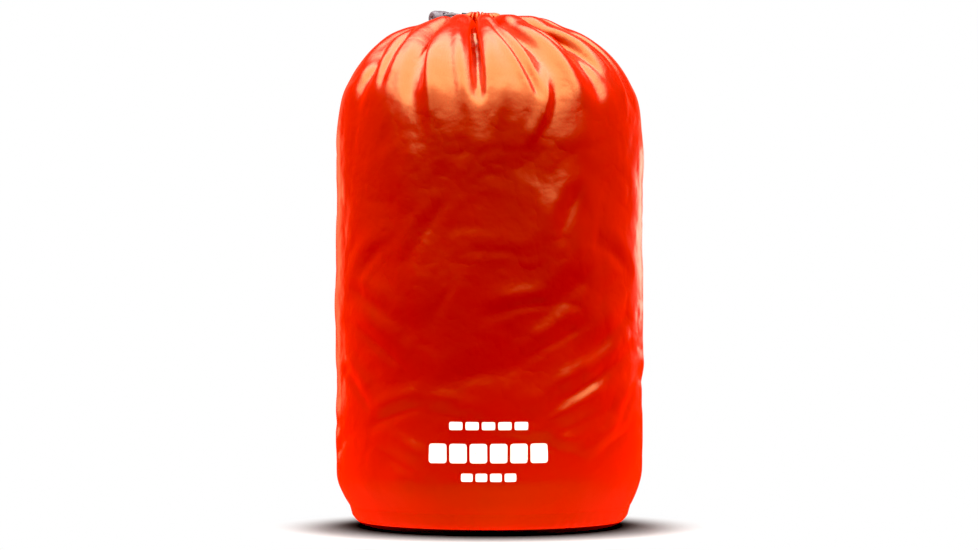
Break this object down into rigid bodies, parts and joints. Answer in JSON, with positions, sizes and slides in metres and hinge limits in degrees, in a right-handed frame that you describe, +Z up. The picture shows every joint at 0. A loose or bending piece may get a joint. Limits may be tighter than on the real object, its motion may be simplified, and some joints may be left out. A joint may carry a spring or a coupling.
{
  "type": "stuff sack",
  "caption": "Full drawstring stuff sack in light shiny fabric, with a round base, gathered mouth, drawcord, spring cord lock, pull loop and blank label.",
  "frame": {"origin": "centre of the round base's flat face, on the floor", "axes": "+Z up along the sack's axis, -Y to the front, +X to the right as seen from the front"},
  "size_m": [0.237, 0.2592, 0.4067],
  "materials": {
    "sack_fabric": "glossy coated nylon",
    "binding_tape": "matte woven tape",
    "cord": "braided sheath",
    "lock_plastic": "satin moulded",
    "spring_steel": "bright wire",
    "webbing": "ribbed webbing",
    "label_cloth": "satin ribbon"
  },
  "bodies": {
    "sack": {"body_panel": "sack_fabric", "base_panel": "sack_fabric", "base_seam_binding": "binding_tape", "side_seam_fell": "sack_fabric"},
    "mouth": {"drawcord_channel": "sack_fabric", "exit_patch": "webbing", "drawcord_ring": "cord"},
    "cord_tail": {"drawcord_tail_upper": "cord", "drawcord_tail_lower": "cord"},
    "cord_lock": {"cord_lock_barrel": "lock_plastic", "cord_lock_spring": "spring_steel"},
    "lock_button": {"cord_lock_plunger": "lock_plastic"},
    "cord_ends": {"drawcord_end_left": "cord", "drawcord_end_right": "cord", "cord_knot": "cord", "cord_tip_left": "cord", "cord_tip_right": "cord"},
    "loop": {"pull_loop": "webbing", "pull_loop_bartack": "webbing"},
    "label": {"care_label": "label_cloth"}
  },
  "joints": [
    {"name": "mouth_lift", "type": "slide", "parent": "sack", "child": "mouth", "axis": [0, 0, 1], "range_m": [0, 0.03]},
    {"name": "cord_lift", "type": "hinge", "parent": "mouth", "child": "cord_tail", "pos_m": [-0.01875, 0.02581, 0.3975], "axis": [0.809, 0.5878, 0], "range_deg": [0, 60]},
    {"name": "lock_slide", "type": "hinge", "parent": "cord_tail", "child": "cord_lock", "pos_m": [-0.03302, 0.04545, 0.34121], "axis": [-0.809, -0.5878, 0], "range_deg": [0, 46]},
    {"name": "button_press", "type": "slide", "parent": "cord_lock", "child": "lock_button", "axis": [-0.809, -0.5878, 0], "range_m": [0, 0.003], "stiffness_N_per_m": 400, "springref_m": -0.004, "deforming": ["cord_lock_spring"]},
    {"name": "ends_lift", "type": "hinge", "parent": "cord_tail", "child": "cord_ends", "pos_m": [-0.06536, 0.08997, 0.36513], "axis": [0.809, 0.5878, 0], "range_deg": [0, 100]},
    {"name": "loop_swing", "type": "hinge", "parent": "sack", "child": "loop", "pos_m": [-0.0189, 0.10721, 0.01523], "axis": [0.9848, 0.1736, 0], "range_deg": [-6, 65]},
    {"name": "label_flip", "type": "hinge", "parent": "sack", "child": "label", "pos_m": [-0.01502, 0.11859, 0.066], "axis": [0, 0, 1], "range_deg": [0, 120]}
  ]
}
